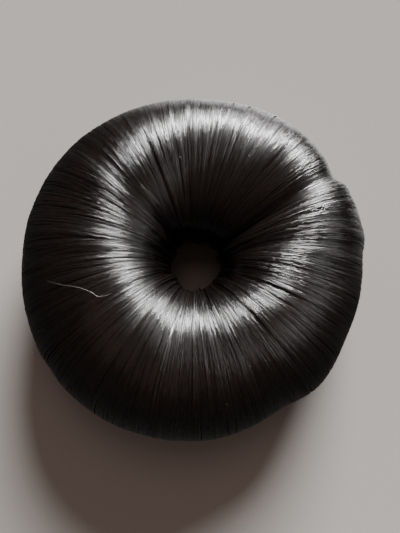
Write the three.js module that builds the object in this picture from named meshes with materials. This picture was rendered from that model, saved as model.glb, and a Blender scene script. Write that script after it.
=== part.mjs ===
// Hair bun donut: a fat soft ring wound all over with straight hair, lying on its flattened underside.
// Millimetres, +Z up. The origin is on the underside in the middle of the ring.
// Azimuth 0 is +X, the right of the ring, and 90 is +Y, its far side.

import * as THREE from 'three';
import { ParametricGeometry } from 'three/addons/geometries/ParametricGeometry.js';

// Driving dimensions
const OUTER_RADIUS = 47.5;
const THROAT_RADIUS = 7.4;
const HEIGHT = 37;
const SINK = 2.2; // how much of the round section the flattened underside takes away
const LEAN_FROM = 0.3; // share of the section's half height above which its top starts to lean

// The two ends of the wound hair meet in a seam, which the sections are counted from
const SEAM_AZIMUTH = 31;

// How the ring departs from a plain one, a row per section, once round from the seam and back to it:
// "turn" is the angle from the seam. "reach", "rise" and "throat" are added to the outer radius, the height
// and the throat radius, and "lean" is how far the top of the section leans outwards.
const SECTIONS = [
  { turn: 0, reach: -0.9, rise: -1.6, throat: 0.4, lean: 4.2 },
  { turn: 8, reach: -0.3, rise: -1.4, throat: 0.5, lean: 5.4 },
  { turn: 18, reach: 0.7, rise: -1.3, throat: 0.5, lean: 5.0 },
  { turn: 30, reach: 1.9, rise: -1.1, throat: 0.5, lean: 2.3 },
  { turn: 56, reach: 1.2, rise: -1.0, throat: 0.5, lean: 1.6 },
  { turn: 78, reach: 1.7, rise: -1.0, throat: 0.5, lean: 0.6 },
  { turn: 92, reach: 1.8, rise: -0.9, throat: 0.4, lean: -0.2 },
  { turn: 102, reach: 2.0, rise: -0.7, throat: 0.4, lean: -1.8 },
  { turn: 112, reach: 1.6, rise: 0.0, throat: -0.1, lean: -0.9 },
  { turn: 128, reach: 1.1, rise: 0.0, throat: -0.1, lean: -3.0 },
  { turn: 150, reach: 0.3, rise: 0.0, throat: -0.1, lean: -1.6 },
  { turn: 170, reach: 0.5, rise: 0.0, throat: -0.2, lean: -1.5 },
  { turn: 184, reach: 1.2, rise: 0.0, throat: -0.2, lean: -0.4 },
  { turn: 210, reach: 0.7, rise: 0.1, throat: -0.2, lean: 0.6 },
  { turn: 226, reach: 0.2, rise: 0.1, throat: -0.1, lean: 1.5 },
  { turn: 240, reach: -0.2, rise: 0.0, throat: 0.0, lean: 0.2 },
  { turn: 270, reach: -2.0, rise: -0.2, throat: 0.1, lean: -0.8 },
  { turn: 284, reach: -0.6, rise: 0.0, throat: 0.1, lean: -1.7 },
  { turn: 304, reach: -1.9, rise: 0.1, throat: 0.1, lean: -1.2 },
  { turn: 320, reach: -1.5, rise: 0.2, throat: 0.0, lean: -2.9 },
  { turn: 331, reach: -1.2, rise: 0.3, throat: 0.0, lean: -1.2 },
  { turn: 338, reach: 0.2, rise: 0.6, throat: 0.2, lean: 0.2 },
  { turn: 349, reach: 0.3, rise: 1.0, throat: 0.2, lean: 3.4 },
  { turn: 354, reach: -0.5, rise: 0.8, throat: 0.2, lean: 5.2 },
  { turn: 360, reach: -0.9, rise: -1.6, throat: 0.4, lean: 4.2 },
];

// Folds across the ring, where clumps of hair part. "facing" is the angle round the section at which a fold
// is deepest: 0 faces outwards, 90 up and 180 into the hole. "spread" is the angle that it fades over.
const FOLDS = [
  { azimuth: SEAM_AZIMUTH, halfWidth: 4, depth: 3.0, facing: 105, spread: 95 },
  { azimuth: 7, halfWidth: 4, depth: 0.9, facing: 120, spread: 60 },
  { azimuth: 135, halfWidth: 5, depth: 1.1, facing: 130, spread: 65 },
  { azimuth: 216, halfWidth: 4, depth: 0.6, facing: 10, spread: 70 },
  { azimuth: 302, halfWidth: 6, depth: 0.5, facing: 10, spread: 70 },
];

// Facets: sections round the ring, packed closer at the seam, and points round each section
const SECTION_COUNT = 112;
const POINT_COUNT = 34;
const SEAM_PACKING = 0.6;

const { degToRad, euclideanModulo, smoothstep, lerp } = THREE.MathUtils;

// Blends a column of the section table at an angle from the seam.
function blend(column, turn) {
  const next = Math.max(1, SECTIONS.findIndex((section) => section.turn >= turn));
  const before = SECTIONS[next - 1];
  const after = SECTIONS[next];
  return lerp(before[column], after[column], smoothstep(turn, before.turn, after.turn));
}

// Angle from one direction to another, in degrees from -180 to 180.
function turnBetween(from, to) {
  return euclideanModulo(to - from + 180, 360) - 180;
}

// How deep the folds press into the hair at a place on the ring.
function foldDepth(azimuth, facing) {
  let depth = 0;
  for (const fold of FOLDS) {
    const across = Math.abs(turnBetween(fold.azimuth, azimuth)) / fold.halfWidth;
    const along = Math.abs(turnBetween(fold.facing, facing)) / fold.spread;
    depth += fold.depth * Math.exp(-across) * (1 - smoothstep(along, 0, 1));
  }
  return depth;
}

// Point of the hair's surface: "round" runs once round the ring from the seam, "over" once round the section.
function hairSurface(round, over, point) {
  const packed = round - (SEAM_PACKING * Math.sin(2 * Math.PI * round)) / (2 * Math.PI);
  const turn = 360 * packed;
  const azimuth = SEAM_AZIMUTH + turn;
  const facing = 360 * over;

  const outer = OUTER_RADIUS + blend('reach', turn);
  const inner = THROAT_RADIUS + blend('throat', turn);
  const roundHeight = HEIGHT + SINK + blend('rise', turn);
  const middle = (outer + inner) / 2;
  const press = foldDepth(azimuth, facing);
  const halfWidth = (outer - inner) / 2 - press;
  const halfHeight = roundHeight / 2 - press;

  const lean = blend('lean', turn) * smoothstep(Math.sin(degToRad(facing)), LEAN_FROM, 1);
  const radius = middle + halfWidth * Math.cos(degToRad(facing)) + lean;
  const level = roundHeight / 2 - SINK + halfHeight * Math.sin(degToRad(facing));
  const direction = degToRad(azimuth);
  point.set(radius * Math.cos(direction), radius * Math.sin(direction), Math.max(0, level));
}

const hair = new THREE.MeshStandardMaterial({ color: 0x14100f, roughness: 0.4 });
hair.name = 'hair';

// The uneven outline is moved so that the origin is in the middle of its box
const wound = new ParametricGeometry(hairSurface, SECTION_COUNT, POINT_COUNT);
wound.computeBoundingBox();
const outlineMiddle = wound.boundingBox.getCenter(new THREE.Vector3());
wound.translate(-outlineMiddle.x, -outlineMiddle.y, 0);

const hairRing = new THREE.Mesh(wound, hair);
hairRing.name = 'hair_ring';

const donut = new THREE.Group();
donut.name = 'hair_bun_donut';
donut.add(hairRing);

export default donut;
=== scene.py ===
# Hair bun donut: the looks of a soft ring wound all over with straight glossy black hair.
# Metres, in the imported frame: +Z up, azimuth 0 is +X and 90 degrees is +Y, the far side of the ring.
# "Facing" is the angle round the ring's section: 0 faces outwards, 90 degrees up and 180 into the hole.

import math

import bpy
import numpy as np
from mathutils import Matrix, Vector
from mathutils.bvhtree import BVHTree


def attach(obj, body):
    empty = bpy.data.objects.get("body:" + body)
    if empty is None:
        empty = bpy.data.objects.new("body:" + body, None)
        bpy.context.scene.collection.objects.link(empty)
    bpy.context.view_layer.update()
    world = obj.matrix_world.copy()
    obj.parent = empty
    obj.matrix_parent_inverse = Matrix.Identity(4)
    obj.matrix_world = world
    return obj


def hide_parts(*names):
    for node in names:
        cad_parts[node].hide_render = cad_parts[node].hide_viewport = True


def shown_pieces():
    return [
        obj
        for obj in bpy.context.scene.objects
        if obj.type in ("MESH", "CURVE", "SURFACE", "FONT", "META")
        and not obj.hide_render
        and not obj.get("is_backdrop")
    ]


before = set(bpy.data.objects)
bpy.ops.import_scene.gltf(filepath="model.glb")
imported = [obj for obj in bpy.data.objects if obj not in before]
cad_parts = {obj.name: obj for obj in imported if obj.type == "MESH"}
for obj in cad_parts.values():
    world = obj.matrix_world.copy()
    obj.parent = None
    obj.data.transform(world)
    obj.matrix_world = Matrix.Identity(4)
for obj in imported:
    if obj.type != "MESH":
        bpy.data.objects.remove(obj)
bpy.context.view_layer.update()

MM = 0.001
TAU = 2 * math.pi
DEGREE = math.radians(1)
DOWN = -90 * DEGREE

# Seeds of the clumps, of the strands in the first quarter of the ring and of the loose hairs
CLUMP_SEED = 41
STRAND_SEED = 51
LOOSE_SEED = 61


# The CAD surface

# The ring's spine, the circle that the hair is wound round, and about how far the hair is from it
SPINE_RADIUS = 27.3 * MM
SPINE_HEIGHT = 18.0 * MM
SECTION_RADIUS = 19.3 * MM

# How finely the CAD surface is read from the spine, and how far its facets are blurred
AZIMUTH_STEPS = 720
FACING_STEPS = 180
AZIMUTH_BLUR = 0.8 * DEGREE
FACING_BLUR = 3.0 * DEGREE

# Under the ring the hair lies pressed flat, so nothing stands out there. The angles are from straight down.
FLAT_TO = 25 * DEGREE
FREE_FROM = 50 * DEGREE
PRESSED_DEPTH = 0.1 * MM
LEAST_HEIGHT = 0.03 * MM

# Step to either side over which the slope of the surface is taken
SLOPE_STEP = 0.5 * DEGREE


def smooth_step(value, start, end):
    """Share of the way from a start to an end, from 0 to 1, that sets out and arrives gently."""
    share = np.clip((value - start) / (end - start), 0, 1)
    return share * share * (3 - 2 * share)


def turn_between(start, end):
    """Angle from one direction to another, from minus half a turn to half a turn."""
    return (end - start + TAU / 2) % TAU - TAU / 2


def unit(vectors):
    """Vectors of length one that point the same way."""
    return vectors / np.linalg.norm(vectors, axis=-1, keepdims=True)


def ring_grid(columns, rows, first_facing=0.0):
    """Azimuths and facings of a grid that goes once round the ring and once round its section."""
    azimuth = np.arange(columns) * TAU / columns
    facing = first_facing + np.arange(rows) * TAU / rows
    return np.meshgrid(azimuth, facing, indexing="ij")


def spine_point(azimuth):
    """Points of the spine at an array of azimuths."""
    flat = np.stack([np.cos(azimuth), np.sin(azimuth)], axis=-1) * SPINE_RADIUS
    return np.concatenate([flat, np.full(azimuth.shape + (1,), SPINE_HEIGHT)], axis=-1)


def outward(azimuth, facing):
    """Unit vectors that point out from the spine, or from any other place, at some azimuths and facings."""
    level = np.cos(facing)
    return np.stack([level * np.cos(azimuth), level * np.sin(azimuth), np.sin(facing)], axis=-1)


def blur(distance):
    """Distances by azimuth and by facing with their short ripples smoothed away."""
    turns = np.fft.fftfreq(AZIMUTH_STEPS, 1 / AZIMUTH_STEPS)[:, None]
    ripples = np.fft.fftfreq(FACING_STEPS, 1 / FACING_STEPS)[None, :]
    keep = np.exp(-((turns * AZIMUTH_BLUR) ** 2 + (ripples * FACING_BLUR) ** 2) / 2)
    return np.fft.ifft2(np.fft.fft2(distance) * keep).real


def read_surface(node):
    """Distance from the spine to the CAD surface by azimuth and by facing, with its facets blurred away."""
    mesh = node.data
    tree = BVHTree.FromPolygons([v.co for v in mesh.vertices], [p.vertices for p in mesh.polygons])
    azimuth, facing = ring_grid(AZIMUTH_STEPS, FACING_STEPS)
    starts = spine_point(azimuth).reshape(-1, 3)
    ways = outward(azimuth, facing).reshape(-1, 3)
    hits = [tree.ray_cast(Vector(start), Vector(way)) for start, way in zip(starts, ways)]
    distance = np.array([length for point, normal, face, length in hits])
    return blur(distance.reshape(azimuth.shape))


surface = read_surface(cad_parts["hair_ring"])


def surface_distance(azimuth, facing):
    """The CAD surface's distance from the spine at any azimuth and facing."""
    row = azimuth / TAU * AZIMUTH_STEPS
    column = facing / TAU * FACING_STEPS
    low_row = np.floor(row).astype(int)
    low_column = np.floor(column).astype(int)
    row_share = row - low_row
    column_share = column - low_column
    total = 0
    for row_step, row_weight in ((0, 1 - row_share), (1, row_share)):
        for column_step, column_weight in ((0, 1 - column_share), (1, column_share)):
            value = surface[(low_row + row_step) % AZIMUTH_STEPS, (low_column + column_step) % FACING_STEPS]
            total = total + value * row_weight * column_weight
    return total


def place(azimuth, facing, lift):
    """Points that stand a lift off the CAD surface, pressed flat on the underside."""
    free = smooth_step(np.abs(turn_between(DOWN, facing)), FLAT_TO, FREE_FROM)
    pressed = np.minimum(lift, lift * free) - PRESSED_DEPTH * (1 - free)
    reach = surface_distance(azimuth, facing) + pressed
    points = spine_point(azimuth) + outward(azimuth, facing) * reach[..., None]
    points[..., 2] = np.maximum(points[..., 2], LEAST_HEIGHT)
    return points


def surface_normal(azimuth, facing):
    """Unit vectors square to the CAD surface, so that they lean with the walls of its folds."""
    across = place(azimuth + SLOPE_STEP, facing, 0) - place(azimuth - SLOPE_STEP, facing, 0)
    along = place(azimuth, facing + SLOPE_STEP, 0) - place(azimuth, facing - SLOPE_STEP, 0)
    return unit(np.cross(across, along))


# Clumps

# How narrow and how wide a clump may be beside the rest, and in how many waves it wanders sideways
CLUMP_WIDTHS = (0.4, 1.6)
WANDER_TURNS = (1, 2, 3)

# The clumps stand out less on the outer side of the ring, where the hair is drawn tight
RIM_RELIEF = 0.15
RIM_FROM = 10 * DEGREE
RIM_TO = 75 * DEGREE

# They stand out more in the throat, where there is least room for the hair
THROAT_RELIEF = 3.0
THROAT_FROM = 120 * DEGREE
THROAT_TO = 175 * DEGREE


def clump_relief(facing):
    """How strongly clumps stand out at some facings."""
    relief = RIM_RELIEF + (1 - RIM_RELIEF) * smooth_step(facing, RIM_FROM, RIM_TO)
    return relief + (THROAT_RELIEF - 1) * smooth_step(facing, THROAT_FROM, THROAT_TO)


class Waves:
    """Smooth random curves over facing, a row each, that close up once round the section."""

    def __init__(self, random, count, turns, size):
        self.turns = np.array(turns)
        self.phase = random.uniform(0, TAU, (count, len(turns)))
        self.height = random.normal(0, size / math.sqrt(len(turns)), (count, len(turns)))

    def at(self, row, facing):
        """Heights of some of the curves, each at a row of facings."""
        angle = facing[..., None] * self.turns + self.phase[row][..., None, :]
        return (self.height[row][..., None, :] * np.cos(angle)).sum(axis=-1)


class Clumps:
    """Clumps of hair side by side round the ring.

    "wander" is how far they stray sideways, "pull" the greatest share by which their strands are drawn
    together, "crown" how much higher their middles stand, "swell" how much they rise and fall, in so many
    waves round the section, and "tilt" how much the shading of one differs from that of another.
    """

    def __init__(self, random, count, wander, pull, crown, swell, swell_turns, tilt):
        widths = random.uniform(*CLUMP_WIDTHS, count)
        self.edges = np.concatenate([[0.0], np.cumsum(widths)]) * (TAU / widths.sum())
        self.pull = random.uniform(0, pull, count)
        self.gloss = random.uniform(0, 1, count)
        self.tilt = random.normal(0, tilt, count)
        self.crown = crown
        self.wander = Waves(random, count, WANDER_TURNS, wander)
        self.swell = Waves(random, count, swell_turns, swell)

    def find(self, azimuth):
        """The clumps that strands laid at some azimuths belong to."""
        clump = np.searchsorted(self.edges, azimuth % TAU, side="right") - 1
        return np.clip(clump, 0, len(self.pull) - 1)

    def half_width(self, azimuth):
        """Half the widths of the clumps that strands laid at some azimuths belong to."""
        clump = self.find(azimuth)
        return (self.edges[clump + 1] - self.edges[clump]) / 2

    def across(self, azimuth):
        """Where strands laid at some azimuths lie across their clumps, from -1 to 1."""
        return (azimuth % TAU - self.edges[self.find(azimuth)]) / self.half_width(azimuth) - 1

    def gather(self, azimuth, facing):
        """How far strands laid at some azimuths are moved sideways by their clumps, and how far up."""
        clump = self.find(azimuth)
        across = self.across(azimuth)
        relief = clump_relief(facing)
        drawn = self.pull[clump] * across * self.half_width(azimuth)
        shift = self.wander.at(clump, facing) - drawn[:, None] * relief
        lift = (self.crown * (1 - across**2))[:, None] + self.swell.at(clump, facing)
        return shift, lift * relief


clump_random = np.random.default_rng(CLUMP_SEED)
tresses = Clumps(
    clump_random,
    count=44,
    wander=0.3 * DEGREE,
    pull=0.03,
    crown=0.06 * MM,
    swell=0.12 * MM,
    swell_turns=(1, 2),
    tilt=0.9 * DEGREE,
)
locks = Clumps(
    clump_random,
    count=140,
    wander=0.25 * DEGREE,
    pull=0.18,
    crown=0.06 * MM,
    swell=0.09 * MM,
    swell_turns=(1, 2, 3),
    tilt=0.9 * DEGREE,
)
wisps = Clumps(
    clump_random,
    count=560,
    wander=0.2 * DEGREE,
    pull=0.3,
    crown=0.03 * MM,
    swell=0.05 * MM,
    swell_turns=(3, 4, 5, 6),
    tilt=1.7 * DEGREE,
)
CLUMP_LEVELS = (tresses, locks, wisps)


def gather(levels, azimuth, facing):
    """How far strands are moved sideways, and how high they stand, by several levels of clumps together."""
    moves = [clumps.gather(azimuth, facing) for clumps in levels]
    return sum(shift for shift, lift in moves), sum(lift for shift, lift in moves)


# Pieces

# Names of each piece's map, and of the attribute that holds the tone of its points
MAP_NAME = "OFBake"
TONE_NAME = "tone"

# Strands are closed, flat and three-sided, and are shaded as if they were round
STRAND_FLATNESS = 0.25
STRAND_ROUNDNESS = 34 * DEGREE

# Each strand has a strip of the map to itself, with a margin round it. Its end faces reach past its walls.
MAP_COLUMNS = 60
MAP_MARGIN = 0.1
END_MAP_DEPTH = 0.04

# The two triangles of each step along a strand's wall: how far ahead and how far across each corner is
WALL_TRIANGLES = (((0, 0), (0, 1), (1, 1)), ((0, 0), (1, 1), (1, 0)))

# The triangles that close a strand: "point" and "level" say where they are along it, "way" how they face
STRAND_ENDS = (
    {"point": 0, "level": 0, "way": -1, "corners": [0, 2, 1]},
    {"point": -1, "level": 1, "way": 1, "corners": [0, 1, 2]},
)


def add_piece(name, points, faces, spots, tone, material, normals=None):
    """A smooth mesh piece of triangles, with their places on the map and the tone of each point."""
    mesh = bpy.data.meshes.new(name)
    mesh.vertices.add(len(points))
    mesh.vertices.foreach_set("co", points.astype(np.float32).ravel())
    mesh.loops.add(faces.size)
    mesh.loops.foreach_set("vertex_index", faces.astype(np.int32).ravel())
    mesh.polygons.add(len(faces))
    mesh.polygons.foreach_set("loop_start", np.arange(len(faces), dtype=np.int32) * 3)
    mesh.update(calc_edges=True)
    mesh.uv_layers.new(name=MAP_NAME)
    mesh.uv_layers[MAP_NAME].uv.foreach_set("vector", spots.astype(np.float32).ravel())
    mesh.attributes.new(TONE_NAME, "FLOAT", "POINT")
    mesh.attributes[TONE_NAME].data.foreach_set("value", tone.astype(np.float32))
    mesh.polygons.foreach_set("use_smooth", np.ones(len(faces), dtype=bool))
    if normals is not None:
        mesh.normals_split_custom_set(normals.reshape(-1, 3))
    mesh.materials.append(material)
    piece = bpy.data.objects.new(name, mesh)
    bpy.context.scene.collection.objects.link(piece)
    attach(piece, "root")
    return piece


def strand_axes(path, up):
    """Unit vectors along strands, to their right and out of their ridges, at each point of their paths."""
    along = unit(np.gradient(path, axis=1))
    side = unit(np.cross(along, up))
    return along, side, np.cross(side, along)


def round_normals(along, side, over, tilt, roll):
    """Normals that shade strands as round, at the left edge, the ridge and the right edge of each point."""
    tilt = tilt[:, None, None]
    roll = roll[:, None, None]
    tilted = over * np.cos(tilt) + along * np.sin(tilt)
    middle = tilted * np.cos(roll) + side * np.sin(roll)
    beside = side * np.cos(roll) - tilted * np.sin(roll)
    rise = middle * math.cos(STRAND_ROUNDNESS)
    lean = beside * math.sin(STRAND_ROUNDNESS)
    return np.stack([rise - lean, middle, rise + lean], axis=2)


def map_spots(strands, across, along):
    """Places on the map, by strand: shares of the way across and along each strand's own strip."""
    strip = np.arange(strands)
    cells = np.array([MAP_COLUMNS, math.ceil(strands / MAP_COLUMNS)])
    cell = np.stack([strip % MAP_COLUMNS, strip // MAP_COLUMNS], axis=-1)
    inside = np.stack(np.broadcast_arrays(across, along), axis=-1)
    return (cell[:, None] + MAP_MARGIN + inside * (1 - 2 * MAP_MARGIN)) / cells


def wall_part(vertex, normals, wall, triangle):
    """One of the two triangles of every step along a wall: corners, normals and places on the map."""
    strands, points = vertex.shape[:2]
    steps = np.linspace(0, 1, points)
    corners = []
    ways = []
    spots = []
    for ahead, across in triangle:
        window = slice(ahead, points - 1 + ahead)
        corner = (wall + across) % 3
        corners.append(vertex[:, window, corner])
        ways.append(normals[:, window, corner])
        spots.append(map_spots(strands, (wall + across) / 3, steps[window]))
    return (
        np.stack(corners, axis=2).reshape(-1, 3),
        np.stack(ways, axis=2).reshape(-1, 3, 3),
        np.stack(spots, axis=2).reshape(-1, 3, 2),
    )


def end_part(vertex, along, end):
    """The triangle that closes one end of every strand: corners, normals and places on the map."""
    corners = end["corners"]
    faces = vertex[:, end["point"]][:, corners]
    normals = np.repeat(along[:, end["point"], None] * end["way"], 3, axis=1)
    level = end["level"] + end["way"] * END_MAP_DEPTH * np.array([0, 1, 0])
    return faces, normals, map_spots(len(vertex), np.array(corners) / 3, level)


def strand_piece(name, path, up, width, tone, tilt, roll, material):
    """A piece of closed strands. The arrays run by strand, then by point along it.

    The shading is tilted along each strand by an angle, and rolled round it by another.
    """
    strands, points = path.shape[:2]
    along, side, over = strand_axes(path, up)
    half = side * (width / 2)[..., None]
    ridge = over * (width * STRAND_FLATNESS)[..., None]
    corners = np.stack([path - half, path + ridge, path + half], axis=2)
    vertex = np.arange(strands * points * 3).reshape(strands, points, 3)
    shaded = round_normals(along, side, over, tilt, roll)
    under = np.stack([-over, -over, -over], axis=2)

    parts = []
    for wall, wall_normals in enumerate((shaded, shaded, under)):
        for triangle in WALL_TRIANGLES:
            parts.append(wall_part(vertex, wall_normals, wall, triangle))
    for end in STRAND_ENDS:
        parts.append(end_part(vertex, along, end))
    faces, normals, spots = (np.concatenate(column) for column in zip(*parts))
    add_piece(name, corners.reshape(-1, 3), faces, spots, np.repeat(tone, points * 3), material, normals)


# Materials

HAIR_IOR = 1.65
DARK_HAIR = (0.0028, 0.0018, 0.0015)
BROWN_HAIR = (0.006, 0.0036, 0.003)
DARK_LOOSE = (0.03, 0.027, 0.025)
LIGHT_LOOSE = (0.12, 0.108, 0.1)

# Streaks along the map: how often they break off, how fine they are, and the tones that are dark and light
STREAKS_ALONG = 9.0
STREAK_DETAIL = 2.0
DARK_TONE = 0.1
LIGHT_TONE = 0.7
BUMP_STRENGTH = 0.6


def hair_material(name, dark, light, roughness, lines, anisotropy=0.0, bump=0.0):
    """Glossy hair between two colours and two roughnesses, the lower of which goes with the light tones.

    "lines" is how many strand lines go across the map, and "bump" how deep they are.
    """
    material = bpy.data.materials.new(name)
    material.use_nodes = True
    nodes = material.node_tree.nodes
    links = material.node_tree.links
    shader = nodes["Principled BSDF"]
    shader.inputs["IOR"].default_value = HAIR_IOR
    shader.inputs["Anisotropic"].default_value = anisotropy

    tone = nodes.new("ShaderNodeAttribute")
    tone.attribute_name = TONE_NAME
    place_map = nodes.new("ShaderNodeUVMap")
    place_map.uv_map = MAP_NAME
    stretch = nodes.new("ShaderNodeVectorMath")
    stretch.operation = "MULTIPLY"
    stretch.inputs[1].default_value = (lines, STREAKS_ALONG, 1.0)
    links.new(place_map.outputs["UV"], stretch.inputs[0])
    streaks = nodes.new("ShaderNodeTexNoise")
    streaks.inputs["Scale"].default_value = 1.0
    streaks.inputs["Detail"].default_value = STREAK_DETAIL
    links.new(stretch.outputs["Vector"], streaks.inputs["Vector"])

    mix = nodes.new("ShaderNodeMath")
    mix.operation = "MULTIPLY"
    links.new(tone.outputs["Fac"], mix.inputs[0])
    links.new(streaks.outputs["Fac"], mix.inputs[1])
    colour = nodes.new("ShaderNodeValToRGB")
    colour.color_ramp.elements[0].position = DARK_TONE
    colour.color_ramp.elements[0].color = (*dark, 1)
    colour.color_ramp.elements[1].position = LIGHT_TONE
    colour.color_ramp.elements[1].color = (*light, 1)
    links.new(mix.outputs["Value"], colour.inputs["Fac"])
    links.new(colour.outputs["Color"], shader.inputs["Base Color"])

    rough = nodes.new("ShaderNodeMapRange")
    rough.inputs["To Min"].default_value = max(roughness)
    rough.inputs["To Max"].default_value = min(roughness)
    links.new(tone.outputs["Fac"], rough.inputs["Value"])
    links.new(rough.outputs["Result"], shader.inputs["Roughness"])

    if anisotropy:
        tangent = nodes.new("ShaderNodeTangent")
        tangent.direction_type = "UV_MAP"
        tangent.uv_map = MAP_NAME
        links.new(tangent.outputs["Tangent"], shader.inputs["Tangent"])
    if bump:
        relief = nodes.new("ShaderNodeBump")
        relief.inputs["Strength"].default_value = BUMP_STRENGTH
        relief.inputs["Distance"].default_value = bump
        links.new(streaks.outputs["Fac"], relief.inputs["Height"])
        links.new(relief.outputs["Normal"], shader.inputs["Normal"])
    return material


under_hair = hair_material(
    "under_hair", DARK_HAIR, BROWN_HAIR, roughness=(0.42, 0.6), lines=1400, anisotropy=0.6, bump=0.15 * MM
)
lock_hair = hair_material("lock_hair", DARK_HAIR, BROWN_HAIR, roughness=(0.2, 0.35), lines=260)
loose_hair = hair_material("loose_hair", DARK_LOOSE, LIGHT_LOOSE, roughness=(0.35, 0.5), lines=260)


# Body under the strands

BODY_COLUMNS = 900
BODY_ROWS = 48
BODY_SINK = 0.4 * MM
BODY_TONE = 0.5

# The two triangles of each cell of the body: how many columns and rows on from the cell each corner is
CELL_TRIANGLES = (((0, 0), (1, 0), (1, 1)), ((0, 0), (1, 1), (0, 1)))


def make_body():
    """A closed skin just under the CAD surface. Its facings start below, as those of the strands do."""
    azimuth, facing = ring_grid(BODY_COLUMNS, BODY_ROWS, first_facing=DOWN)
    lift = gather((tresses, locks), azimuth[:, 0], facing)[1] - BODY_SINK
    points = place(azimuth, facing, lift).reshape(-1, 3)
    column, row = np.indices((BODY_COLUMNS, BODY_ROWS))
    faces = []
    spots = []
    for triangle in CELL_TRIANGLES:
        corners = []
        marks = []
        for columns_on, rows_on in triangle:
            right = column + columns_on
            over = row + rows_on
            corners.append(right % BODY_COLUMNS * BODY_ROWS + over % BODY_ROWS)
            marks.append(np.stack([right / BODY_COLUMNS, over / BODY_ROWS], axis=-1))
        faces.append(np.stack(corners, axis=2).reshape(-1, 3))
        spots.append(np.stack(marks, axis=2).reshape(-1, 3, 2))
    tone = np.full(len(points), BODY_TONE)
    return add_piece("hair_body", points, np.concatenate(faces), np.concatenate(spots), tone, under_hair)


body = make_body()
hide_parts("hair_ring")


# Strands

# Quarters of the ring: the azimuths of their middles in degrees
QUARTERS = {"far": 90, "left": 180, "near": 270, "right": 0}

# Kinds of strands in each quarter: some wound right round the section, the rest from low on the outer side
# over into the hole. "first" and "last" are the facings that they run between, in degrees.
STRAND_KINDS = (
    {"kind": "wound", "count": 380, "points": 36, "first": -125, "last": 275},
    {"kind": "over", "count": 900, "points": 23, "first": -60, "last": 165},
)

# How much the facings that strands start and end at differ, in radians
START_SPREAD = 0.15
END_SPREAD = 0.2

# How high strands may lie over one another, what share of them is tucked in at each end, and how deep
LAYER_HEIGHT = 0.12 * MM
TUCK_SHARE = 0.1
TUCK_DEPTH = 0.9 * MM

# Waves that each strand has of its own, up and down and sideways: how many go round, and their size
LIFT_TURNS = (4, 6, 9)
LIFT_SIZE = 0.03 * MM
SHIFT_TURNS = (1, 2, 3)
SHIFT_SIZE = 0.35 * DEGREE

# Widths of strands, which hold at a distance from the middle of the hole. Nearer and further away they
# change in proportion, between two limits, and a share of them is left at the ends.
STRAND_WIDTHS = (0.09 * MM, 0.22 * MM)
WIDTH_DISTANCE = 30 * MM
WIDTH_LIMITS = (0.5, 1.1)
END_WIDTH = 0.3

# Share of a strand's tone that it has in common with its wisp
WISP_TONE = 0.6

# How the shading of strands is tilted along them: most of them little, a few up to so many times the spread
TILT_SPREAD = 1.1 * DEGREE
TILT_FREEDOM = 2
TILT_LIMIT = 3.5

# How the shading of strands is rolled round them, at the edges of their clumps and each on its own
LOCK_ROLL = 5 * DEGREE
WISP_ROLL = 6 * DEGREE
ROLL_SPREAD = 5 * DEGREE

# Broad locks that lie over to one side, or further out than the rest: "azimuth" is their middle, "half"
# their half width, "roll" turns them to larger azimuths, "tilt" turns them to the hole and "spread" is how
# much more their strands differ in that, all in degrees
BROAD_LOCKS = (
    {"azimuth": 138, "half": 17, "roll": 17, "tilt": 0, "spread": 0},
    {"azimuth": 18, "half": 9, "roll": -6, "tilt": -3, "spread": 0},
    {"azimuth": 60, "half": 14, "roll": 0, "tilt": -4, "spread": 0},
    {"azimuth": 258, "half": 18, "roll": 6, "tilt": -2, "spread": 0},
    {"azimuth": 275, "half": 25, "roll": 0, "tilt": 0, "spread": 0.6},
    {"azimuth": 342, "half": 15, "roll": 0, "tilt": 2, "spread": 0},
    {"azimuth": 5, "half": 30, "roll": 0, "tilt": 0, "spread": 2},
)


def lay_strands(random, azimuth, start, end, points):
    """Paths of strands wound over the ring from one facing to another, gathered into their clumps.

    With them come the normals of the surface, and a share that falls from 1 to 0 at the tucked ends.
    """
    count = len(azimuth)
    share = np.linspace(0, 1, points)[None, :]
    facing = start[:, None] + (end - start)[:, None] * share
    clump_shift, clump_lift = gather(CLUMP_LEVELS, azimuth, facing)
    layer = random.uniform(0, LAYER_HEIGHT, count)[:, None]
    own_lift = Waves(random, count, LIFT_TURNS, LIFT_SIZE).at(np.arange(count), facing)
    own_shift = Waves(random, count, SHIFT_TURNS, SHIFT_SIZE).at(np.arange(count), facing)
    ends = np.minimum(smooth_step(share, 0, TUCK_SHARE), smooth_step(1 - share, 0, TUCK_SHARE))
    lift = clump_lift + own_lift + layer - TUCK_DEPTH * (1 - ends)
    turned = azimuth[:, None] + clump_shift + own_shift
    return place(turned, facing, lift), surface_normal(turned, facing), ends


def strand_width(random, path, ends):
    """Widths of strands along their paths, less in the hole, where they crowd, and at their ends."""
    own_width = random.uniform(*STRAND_WIDTHS, len(path))[:, None]
    distance = np.hypot(path[..., 0], path[..., 1])
    crowding = np.clip(distance / WIDTH_DISTANCE, *WIDTH_LIMITS)
    return own_width * (END_WIDTH + (1 - END_WIDTH) * ends) * crowding


def strand_tone(random, azimuth):
    """Tones of strands, from 0 to 1."""
    wisp_tone = wisps.gloss[wisps.find(azimuth)]
    return WISP_TONE * wisp_tone + (1 - WISP_TONE) * random.uniform(0, 1, len(azimuth))


def broad_turn(azimuth, column):
    """How far a column of the broad locks turns the strands at some azimuths."""
    total = 0
    for lock in BROAD_LOCKS:
        away = turn_between(lock["azimuth"] * DEGREE, azimuth) / (lock["half"] * DEGREE)
        total = total + lock[column] * DEGREE * np.exp(-(away**2))
    return total


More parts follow.
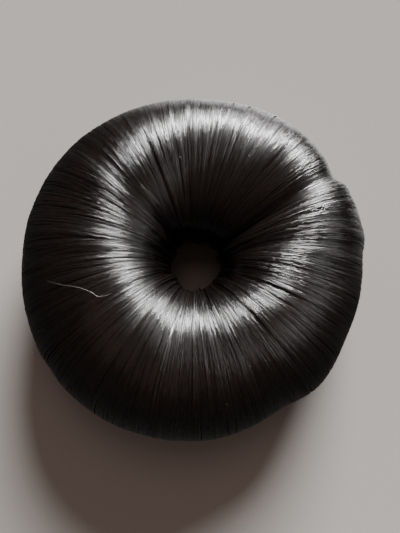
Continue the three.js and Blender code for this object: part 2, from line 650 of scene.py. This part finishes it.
def strand_tilt(random, azimuth):
    """Angles by which the shading of strands is tilted along them, to the hole."""
    clump_tilt = sum(clumps.tilt[clumps.find(azimuth)] for clumps in CLUMP_LEVELS)
    spread = TILT_SPREAD + broad_turn(azimuth, "spread")
    stray = np.clip(random.standard_t(TILT_FREEDOM, len(azimuth)), -TILT_LIMIT, TILT_LIMIT)
    return clump_tilt + broad_turn(azimuth, "tilt") + spread * stray


def strand_roll(random, azimuth):
    """Angles by which the shading of strands is rolled round them, so that clumps look round."""
    clump_roll = LOCK_ROLL * locks.across(azimuth) + WISP_ROLL * wisps.across(azimuth)
    return clump_roll + broad_turn(azimuth, "roll") + random.normal(0, ROLL_SPREAD, len(azimuth))


def make_strands(name, middle, kind, random):
    """The strands of one kind in one quarter of the ring."""
    count = kind["count"]
    azimuth = middle * DEGREE + random.uniform(-TAU / 8, TAU / 8, count)
    start = kind["first"] * DEGREE + random.normal(0, START_SPREAD, count)
    end = kind["last"] * DEGREE + random.normal(0, END_SPREAD, count)
    path, up, ends = lay_strands(random, azimuth, start, end, kind["points"])
    width = strand_width(random, path, ends)
    tone = strand_tone(random, azimuth)
    tilt = strand_tilt(random, azimuth)
    roll = strand_roll(random, azimuth)
    strand_piece(name, path, up, width, tone, tilt, roll, lock_hair)


for order, (quarter, middle) in enumerate(QUARTERS.items()):
    strand_random = np.random.default_rng(STRAND_SEED + order)
    for kind in STRAND_KINDS:
        make_strands(f"strands_{quarter}_{kind['kind']}", middle, kind, strand_random)


# Loose hairs and lint

# The part of half a wave that the width of a loose hair follows from its root to its tip
TAPER_FROM = 0.15
TAPER_TO = 0.9

# A stray hair that lies across the strands: azimuth and facing in degrees, and how far off it stands in mm
STRAY_HAIR = (
    (192, 55, 0.5),
    (194.5, 63, 0.7),
    (197, 71, 0.8),
    (198.5, 76, 0.8),
    (201, 82, 0.7),
    (205, 88, 0.5),
    (208.5, 91, 0.4),
    (210, 97, 0.2),
    (210.5, 104, 0.1),
)
STRAY_POINTS = 40
STRAY_WIDTH = 0.14 * MM
STRAY_TONE = 1.0

# Short straight loose hairs: azimuth and facing in degrees of both ends
SHORT_HAIRS = (
    (283, 149, 279, 127),
    (321, 128, 315, 113),
    (318, 160, 332, 150),
    (323, 152, 329, 158),
    (129.3, 101, 124.2, 139),
    (130.3, 103, 126.0, 132),
    (128.4, 106, 122.9, 142),
    (30.5, 30, 34.5, 44),
    (28.5, 31, 32.5, 42),
)
SHORT_POINTS = 12
SHORT_WIDTH = 0.09 * MM
SHORT_LIFT = 0.25 * MM
SHORT_TONE = 0.5

# Specks of lint: azimuth and facing in degrees
LINT = ((295, 87), (295, 72), (302, 70), (282, 50), (269, 74), (60, 85), (98, 98), (209, 94))
LINT_POINTS = 4
LINT_LENGTH = 0.3 * MM
LINT_WIDTH = 0.22 * MM
LINT_LIFT = 0.35 * MM
LINT_TONE = 1.0

# Fine hairs that stand off the outline, half of them round its far side and half anywhere. From its root to
# its tip each goes on by a length round the section and a drift round the ring, and lifts off ever more.
FLYAWAY_COUNT = 420
FLYAWAY_POINTS = 6
FLYAWAY_WIDTH = 0.05 * MM
FLYAWAY_TONES = (0, 0.6)
FLYAWAY_ROOTS = (-5 * DEGREE, 30 * DEGREE)
FLYAWAY_LENGTH = 5 * DEGREE
FLYAWAY_DRIFT = 1.2 * DEGREE
FLYAWAY_LIFTS = (0.07 * MM, 0.7 * MM)
FLYAWAY_BEND = 1.5
FAR_AZIMUTH = 80 * DEGREE
FAR_SPREAD = 35 * DEGREE


def smooth_curve(stops, steps):
    """Points of a smooth curve through some stops."""
    stops = np.array(stops, dtype=float)
    padded = np.concatenate([[2 * stops[0] - stops[1]], stops, [2 * stops[-1] - stops[-2]]])
    share = np.linspace(0, len(stops) - 1, steps)
    index = np.minimum(share.astype(int), len(stops) - 2)
    step = (share - index)[:, None]
    before, start, end, after = (padded[index + offset] for offset in range(4))
    bend = 2 * before - 5 * start + 4 * end - after + step * (3 * (start - end) + after - before)
    return start + step / 2 * (end - before + step * bend)


def loose_piece(name, azimuth, facing, lift, width, tone):
    """A piece of loose hairs off the strands. The arrays run by hair, then by point along it."""
    count, points = azimuth.shape
    taper = np.sin(np.linspace(TAPER_FROM, TAPER_TO, points) * math.pi)[None, :]
    path = place(azimuth, facing, lift)
    up = outward(azimuth, facing)
    tones = np.broadcast_to(tone, count)
    straight = np.zeros(count)
    strand_piece(name, path, up, width * taper, tones, straight, straight, loose_hair)


def make_stray_hair():
    """One long hair, along a smooth curve."""
    azimuth, facing, lift = smooth_curve(STRAY_HAIR, STRAY_POINTS).T[:, None]
    loose_piece("stray_hair", azimuth * DEGREE, facing * DEGREE, lift * MM, STRAY_WIDTH, STRAY_TONE)


def make_short_hairs():
    """Short hairs, which bow off the strands between their ends."""
    first_azimuth, first_facing, last_azimuth, last_facing = np.array(SHORT_HAIRS).T[..., None] * DEGREE
    share = np.linspace(0, 1, SHORT_POINTS)[None, :]
    azimuth = first_azimuth + (last_azimuth - first_azimuth) * share
    facing = first_facing + (last_facing - first_facing) * share
    lift = SHORT_LIFT * np.sin(share * math.pi)
    loose_piece("short_hairs", azimuth, facing, lift, SHORT_WIDTH, SHORT_TONE)


def make_lint(random):
    """Specks of lint, each a short fat hair turned at random."""
    middle_azimuth, middle_facing = np.array(LINT).T[..., None] * DEGREE
    turn = random.uniform(0, math.pi, (len(LINT), 1))
    along = LINT_LENGTH / SECTION_RADIUS * np.linspace(-0.5, 0.5, LINT_POINTS)[None, :]
    azimuth = middle_azimuth + along * np.cos(turn)
    facing = middle_facing + along * np.sin(turn)
    loose_piece("lint", azimuth, facing, LINT_LIFT, LINT_WIDTH, LINT_TONE)


def make_flyaways(random):
    """Fine hairs that stand off the outline."""
    each = (FLYAWAY_COUNT, 1)
    far_count = FLYAWAY_COUNT // 2
    far = random.normal(FAR_AZIMUTH, FAR_SPREAD, far_count)
    anywhere = random.uniform(0, TAU, FLYAWAY_COUNT - far_count)
    root_azimuth = np.concatenate([far, anywhere])[:, None]
    root_facing = random.uniform(*FLYAWAY_ROOTS, each)
    length = random.normal(0, FLYAWAY_LENGTH, each)
    drift = random.normal(0, FLYAWAY_DRIFT, each)
    tip_lift = random.uniform(*FLYAWAY_LIFTS, each)
    tone = random.uniform(*FLYAWAY_TONES, FLYAWAY_COUNT)
    share = np.linspace(0, 1, FLYAWAY_POINTS)[None, :]
    azimuth = root_azimuth + drift * share
    facing = root_facing + length * share
    loose_piece("flyaways", azimuth, facing, tip_lift * share**FLYAWAY_BEND, FLYAWAY_WIDTH, tone)


loose_random = np.random.default_rng(LOOSE_SEED)
make_stray_hair()
make_short_hairs()
make_lint(loose_random)
make_flyaways(loose_random)


# Stage

WHITE = (1, 1, 1)
WARM = (1, 0.74, 0.65)
RUDDY = (1, 0.62, 0.53)
ORIGIN = Vector((0, 0, 0))

FLOOR_HALF = 8.0
FLOOR_COLOUR = (0.62, 0.6, 0.57)

# The hair reflects a darker table than the floor that shows. Painted light glows on the table, which only
# reflections see: a faint painted glow all over, a bright painted sheen in a patch behind the ring, and
# painted shade under the ring, where the glow is taken away.
TABLE_COLOUR = (0.2, 0.19, 0.18)
TABLE_PAINTED_GLOW = 0.05
PAINTED_SHEEN_MIDDLE = (0.041, 0.073, 0.0)
PAINTED_SHEEN_RADIUS = 0.085
PAINTED_SHEEN_GLOW = 3.4
PAINTED_SHADE_FROM = 0.02
PAINTED_SHADE_TO = 0.05

# Where the main light comes from, on the hair and on the floor, in degrees
KEY_AZIMUTH = 73
KEY_ELEVATION = 27


def add_sheet(name, colour):
    """A flat matt sheet under the ring."""
    material = bpy.data.materials.new(name)
    material.use_nodes = True
    shader = material.node_tree.nodes["Principled BSDF"]
    shader.inputs["Base Color"].default_value = (*colour, 1)
    shader.inputs["Specular IOR Level"].default_value = 0.0
    mesh = bpy.data.meshes.new(name)
    corners = [(x * FLOOR_HALF, y * FLOOR_HALF, 0.0) for x, y in ((-1, -1), (1, -1), (1, 1), (-1, 1))]
    mesh.from_pydata(corners, [], [(0, 1, 2, 3)])
    mesh.materials.append(material)
    sheet = bpy.data.objects.new(name, mesh)
    bpy.context.scene.collection.objects.link(sheet)
    sheet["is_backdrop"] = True
    return sheet


def fade_round(material, middle, start, end, inside, outside):
    """A value that changes smoothly with the distance from a point."""
    nodes = material.node_tree.nodes
    links = material.node_tree.links
    geometry = nodes.new("ShaderNodeNewGeometry")
    distance = nodes.new("ShaderNodeVectorMath")
    distance.operation = "DISTANCE"
    distance.inputs[1].default_value = middle
    links.new(geometry.outputs["Position"], distance.inputs[0])
    fade = nodes.new("ShaderNodeMapRange")
    fade.interpolation_type = "SMOOTHSTEP"
    fade.inputs["From Min"].default_value = start
    fade.inputs["From Max"].default_value = end
    fade.inputs["To Min"].default_value = inside
    fade.inputs["To Max"].default_value = outside
    links.new(distance.outputs["Value"], fade.inputs["Value"])
    return fade.outputs["Result"]


def add_painted_light(material):
    """Paints light on a table that only reflections see: a faint painted glow all over, a bright painted
    sheen in a patch behind the ring, and painted shade under the ring, where the glow is taken away.
    """
    nodes = material.node_tree.nodes
    links = material.node_tree.links
    painted_sheen = fade_round(material, PAINTED_SHEEN_MIDDLE, 0, PAINTED_SHEEN_RADIUS, PAINTED_SHEEN_GLOW, TABLE_PAINTED_GLOW)
    painted_shade = fade_round(material, ORIGIN, PAINTED_SHADE_FROM, PAINTED_SHADE_TO, 0, 1)
    glow = nodes.new("ShaderNodeMath")
    glow.operation = "MULTIPLY"
    links.new(painted_sheen, glow.inputs[0])
    links.new(painted_shade, glow.inputs[1])
    shader = nodes["Principled BSDF"]
    shader.inputs["Emission Color"].default_value = (*WHITE, 1)
    links.new(glow.outputs["Value"], shader.inputs["Emission Strength"])


def look_from(viewer, azimuth, elevation, distance, aim):
    """Puts a lamp or a camera at an azimuth and an elevation in degrees, and turns it to its aim."""
    way = Vector(outward(azimuth * DEGREE, elevation * DEGREE))
    viewer.location = aim + way * distance
    viewer.rotation_euler = way.to_track_quat("Z", "Y").to_euler()
    bpy.context.scene.collection.objects.link(viewer)


def add_softbox(name, azimuth, elevation, size, power, only, distance=1.0, colour=WHITE):
    """A lamp as wide and as high as its size, that lights only some of the objects."""
    lamp = bpy.data.lights.new(name, "AREA")
    lamp.shape = "RECTANGLE"
    lamp.size, lamp.size_y = size
    lamp.energy = power
    lamp.color = colour
    holder = bpy.data.objects.new(name, lamp)
    look_from(holder, azimuth, elevation, distance, aim=ORIGIN)
    holder.light_linking.receiver_collection = only


def add_window(name, azimuth, elevation, spread, power, only):
    """Soft light that is as strong near the ring as far from it. The spread is in degrees."""
    lamp = bpy.data.lights.new(name, "SUN")
    lamp.angle = spread * DEGREE
    lamp.energy = power
    holder = bpy.data.objects.new(name, lamp)
    look_from(holder, azimuth, elevation, distance=1.0, aim=ORIGIN)
    holder.light_linking.receiver_collection = only


floor = add_sheet("floor", FLOOR_COLOUR)
floor.visible_glossy = False
table = add_sheet("table", TABLE_COLOUR)
table.visible_camera = False
table.visible_diffuse = False
table.visible_shadow = False
# Painted light on the table: a painted sheen behind the ring and painted shade under it, seen only in
# reflections
add_painted_light(table.data.materials[0])

hair_only = bpy.data.collections.new("hair_only")
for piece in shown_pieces():
    hair_only.objects.link(piece)
floor_only = bpy.data.collections.new("floor_only")
floor_only.objects.link(floor)
floor_only.objects.link(table)

add_softbox("hair_key", KEY_AZIMUTH, KEY_ELEVATION, size=(0.42, 0.22), power=47, only=hair_only)
add_softbox("hair_low", azimuth=66, elevation=5, size=(0.26, 0.26), power=6.5, only=hair_only)
add_softbox("hair_side", azimuth=12, elevation=32, size=(0.55, 0.55), power=2.8, only=hair_only)
add_softbox(
    "hair_fill",
    azimuth=285,
    elevation=60,
    size=(1.0, 1.0),
    power=0.75,
    only=hair_only,
    distance=1.2,
    colour=RUDDY,
)
add_window("floor_key", KEY_AZIMUTH, KEY_ELEVATION, spread=33, power=5.8, only=floor_only)
add_softbox(
    "floor_fill",
    azimuth=90,
    elevation=74,
    size=(0.5, 0.5),
    power=0.6,
    only=floor_only,
    distance=1.2,
    colour=WARM,
)


# Room

ROOM_LIGHT = 0.11
BACKDROP_COLOUR = (0.58, 0.55, 0.515)


def make_room():
    """A dim warm room, which shows as a backdrop as pale as the floor."""
    world = bpy.data.worlds.new("room")
    world.use_nodes = True
    nodes = world.node_tree.nodes
    links = world.node_tree.links
    room = nodes["Background"]
    room.inputs["Color"].default_value = (*WARM, 1)
    room.inputs["Strength"].default_value = ROOM_LIGHT
    backdrop = nodes.new("ShaderNodeBackground")
    backdrop.inputs["Color"].default_value = (*BACKDROP_COLOUR, 1)
    ray = nodes.new("ShaderNodeLightPath")
    shown = nodes.new("ShaderNodeMixShader")
    links.new(ray.outputs["Is Camera Ray"], shown.inputs["Fac"])
    links.new(room.outputs["Background"], shown.inputs[1])
    links.new(backdrop.outputs["Background"], shown.inputs[2])
    links.new(shown.outputs["Shader"], nodes["World Output"].inputs["Surface"])
    bpy.context.scene.world = world


make_room()


# Camera

CAMERA_AZIMUTH = -90
CAMERA_ELEVATION = 77
CAMERA_DISTANCE = 206 * MM
CAMERA_LENS = 50
CAMERA_SENSOR = 36
CAMERA_CLIP = 10 * MM
AIM = Vector((1.7 * MM, -0.7 * MM, 18 * MM))


def make_camera():
    """The camera, which looks down on the ring from its near side."""
    data = bpy.data.cameras.new("camera")
    data.lens = CAMERA_LENS
    data.sensor_width = CAMERA_SENSOR
    data.clip_start = CAMERA_CLIP
    camera = bpy.data.objects.new("camera", data)
    look_from(camera, CAMERA_AZIMUTH, CAMERA_ELEVATION, CAMERA_DISTANCE, AIM)
    bpy.context.scene.camera = camera


make_camera()


# Last update of the scene

bpy.context.view_layer.update()
